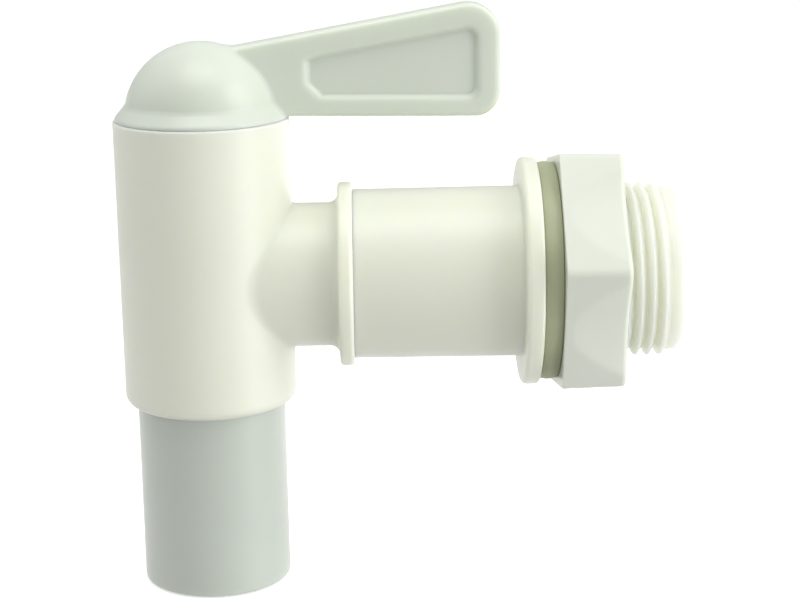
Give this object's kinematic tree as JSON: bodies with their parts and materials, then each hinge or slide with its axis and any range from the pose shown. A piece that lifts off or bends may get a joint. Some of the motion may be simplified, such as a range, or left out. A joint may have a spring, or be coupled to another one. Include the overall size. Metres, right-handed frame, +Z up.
{
  "type": "lever tank tap",
  "caption": "Plastic lever tap for a tank or drum: upright barrel with a hollow turning plug and spout, and a threaded shank with gasket and hex back nut.",
  "frame": {"origin": "centre of the flange's sealing face, on the axis of the threaded shank", "axes": "+X along the shank into the tank; +Z up, along the barrel towards the lever; the barrel's axis is at x = -0.0499"},
  "size_m": [0.0846, 0.039, 0.0884],
  "materials": {
    "natural_polyethylene": "unpigmented moulded polyethylene, cloudy and slightly see-through, satin",
    "white_polypropylene": "white moulded polypropylene, soft gloss",
    "nut_polypropylene": "bright white moulded polypropylene, soft gloss",
    "olive_rubber": "soft moulded rubber or flexible vinyl, olive grey, matt",
    "pale_silicone": "pale silicone rubber, matt"
  },
  "bodies": {
    "body": {"tap_body": "natural_polyethylene", "threaded_tail": "natural_polyethylene", "inlet_seal": "pale_silicone"},
    "lever": {"lever_plug": "white_polypropylene", "upper_plug_ring": "pale_silicone", "lower_plug_ring": "pale_silicone"},
    "gasket": {"flange_gasket": "olive_rubber"},
    "nut": {"back_nut": "nut_polypropylene"}
  },
  "joints": [
    {"name": "lever_turn", "type": "hinge", "parent": "body", "child": "lever", "pos_m": [-0.0499, 0, 0], "axis": [0, 0, 1], "range_deg": [0, 90]},
    {"name": "nut_travel", "type": "slide", "parent": "body", "child": "gasket", "axis": [1, 0, 0], "range_m": [0, 0.0182]},
    {"name": "nut_turn", "type": "hinge", "parent": "gasket", "child": "nut", "pos_m": [0, 0, 0], "axis": [1, 0, 0], "range_deg": [0, 3600]}
  ],
  "couplings": [
    {"joint": "nut_travel", "follows": "nut_turn", "m_per_rad": 0.00028875}
  ]
}
